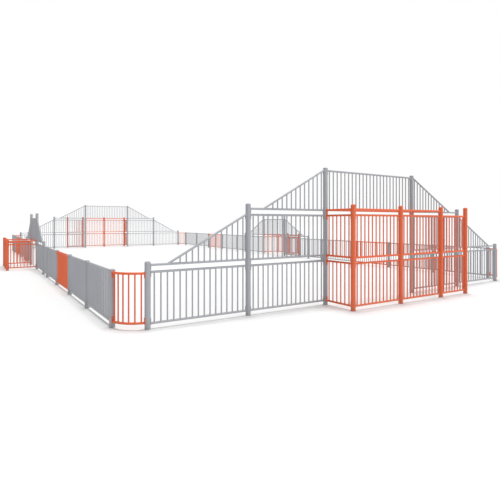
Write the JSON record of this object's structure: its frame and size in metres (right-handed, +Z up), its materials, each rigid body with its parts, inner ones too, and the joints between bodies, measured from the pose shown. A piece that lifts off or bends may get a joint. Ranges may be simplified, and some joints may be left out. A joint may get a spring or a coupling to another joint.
{
  "type": "multi-sport ball court enclosure",
  "caption": "Free-standing steel ball-court enclosure: round posts and barred panels, caged end goals with chicane entries, small side goals, rounded corners.",
  "frame": {"origin": "middle of the court at ground level, on the plane of the post feet", "axes": "+Y along the court's length towards the north end wall, +X across the court towards the east side wall, +Z up"},
  "size_m": [13.962, 26.6618, 3.01],
  "materials": {
    "grey_paint": "satin grey polyester powder coat",
    "orange_paint": "satin orange polyester powder coat",
    "grey_cap": "moulded grey nylon",
    "orange_cap": "moulded orange nylon",
    "bolt_steel": "stainless button head",
    "nut_steel": "zinc plated"
  },
  "bodies": {
    "root": {"corner_panels": "orange_paint", "east_accent_panels": "orange_paint", "east_cage_back_panels": "orange_paint", "east_cage_posts": "orange_paint", "east_cage_rails": "orange_paint", "east_cage_side_panels": "orange_paint", "east_goal_crossbar": "orange_paint", "east_goal_head_panel": "grey_paint", "east_goal_posts": "grey_paint", "east_low_panels": "grey_paint", "east_low_posts": "grey_paint", "east_short_panels": "grey_paint", "east_slope_panels": "grey_paint", "east_step_posts": "grey_paint", "grey_post_caps": "grey_cap", "north_cage_back_panels": "orange_paint", "north_cage_posts": "orange_paint", "north_cage_rails": "orange_paint", "north_cage_side_panels": "orange_paint", "north_chicane_panels": "orange_paint", "north_goal_crossbar": "orange_paint", "north_goal_head_panel": "grey_paint", "north_goal_posts": "grey_paint", "north_low_panels": "grey_paint", "north_mid_panels": "grey_paint", "north_slope_panels": "grey_paint", "north_step_posts": "grey_paint", "north_wing_posts": "grey_paint", "orange_post_caps": "orange_cap", "panel_bolts": "bolt_steel", "south_cage_back_panels": "orange_paint", "south_cage_posts": "orange_paint", "south_cage_rails": "orange_paint", "south_cage_side_panels": "orange_paint", "south_chicane_panels": "orange_paint", "south_goal_crossbar": "orange_paint", "south_goal_head_panel": "grey_paint", "south_goal_posts": "grey_paint", "south_low_panels": "grey_paint", "south_mid_panels": "grey_paint", "south_slope_panels": "grey_paint", "south_step_posts": "grey_paint", "south_wing_posts": "grey_paint", "weld_nuts": "nut_steel", "west_accent_panels": "orange_paint", "west_cage_back_panels": "orange_paint", "west_cage_posts": "orange_paint", "west_cage_rails": "orange_paint", "west_cage_side_panels": "orange_paint", "west_goal_crossbar": "orange_paint", "west_goal_head_panel": "grey_paint", "west_goal_posts": "grey_paint", "west_low_panels": "grey_paint", "west_low_posts": "grey_paint", "west_short_panels": "grey_paint", "west_slope_panels": "grey_paint", "west_step_posts": "grey_paint"}
  },
  "joints": []
}
